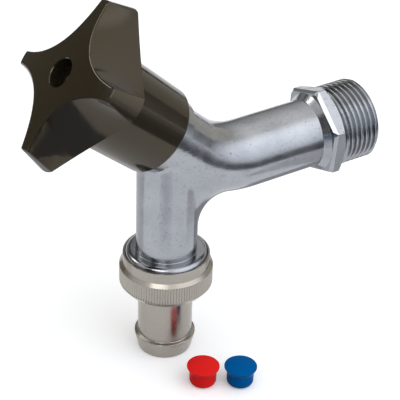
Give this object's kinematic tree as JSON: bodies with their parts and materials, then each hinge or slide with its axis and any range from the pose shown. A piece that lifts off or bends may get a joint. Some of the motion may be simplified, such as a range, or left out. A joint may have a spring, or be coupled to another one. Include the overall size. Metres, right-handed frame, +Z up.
{
  "type": "drain valve",
  "caption": "Chrome bib tap used as a drain valve: threaded inlet arm with hexagon, slanted stem under a dark star handle, and a downward outlet with knurled union nut and barbed hose tail.",
  "frame": {"origin": "centre of the hose tail's foot, on the outlet's axis", "axes": "+Z up along the outlet, +X along the inlet arm away from the tap (it rises 4 degrees), XZ is the body's plane of symmetry"},
  "size_m": [0.1197, 0.0607, 0.1237],
  "materials": {
    "chrome_plate": "polished chrome over cast brass",
    "nickel_plate": "bright nickel over turned brass",
    "dark_plastic": "glossy moulded plastic, very dark brown",
    "red_plastic": "glossy moulded plastic",
    "blue_plastic": "glossy moulded plastic",
    "white_plastic": "slip washer plastic",
    "brass": "machined brass",
    "steel": "stainless steel",
    "rubber": "black rubber"
  },
  "bodies": {
    "tap": {"body": "chrome_plate", "bonnet": "brass", "bonnet_gasket": "rubber", "red_cap": "red_plastic", "blue_cap": "blue_plastic"},
    "stem": {"spindle": "brass", "lower_o_ring": "rubber", "upper_o_ring": "rubber", "thrust_washer": "white_plastic", "retaining_clip": "steel", "handle": "dark_plastic", "handle_screw": "steel"},
    "disc": {"disc_carrier": "brass", "seat_washer": "rubber", "washer_plate": "steel", "washer_screw": "steel"},
    "tail": {"hose_tail": "nickel_plate", "union_gasket": "rubber"},
    "nut": {"union_nut": "nickel_plate"}
  },
  "joints": [
    {"name": "handle_turn", "type": "hinge", "parent": "tap", "child": "stem", "pos_m": [-0.01837, 0, 0.09301], "axis": [-0.7683, 0, 0.6401], "range_deg": [0, 900]},
    {"name": "disc_lift", "type": "slide", "parent": "tap", "child": "disc", "axis": [-0.7683, 0, 0.6401], "range_m": [0, 0.005]},
    {"name": "union_drop", "type": "slide", "parent": "tap", "child": "tail", "axis": [0, 0, -1], "range_m": [0, 0.00499]},
    {"name": "nut_turn", "type": "hinge", "parent": "tail", "child": "nut", "pos_m": [0, 0, 0.03], "axis": [0, 0, -1], "range_deg": [0, 990]}
  ],
  "couplings": [
    {"joint": "handle_turn", "follows": "disc_lift", "rad_per_m": 3141.6},
    {"joint": "nut_turn", "follows": "union_drop", "rad_per_m": 3463.7}
  ]
}
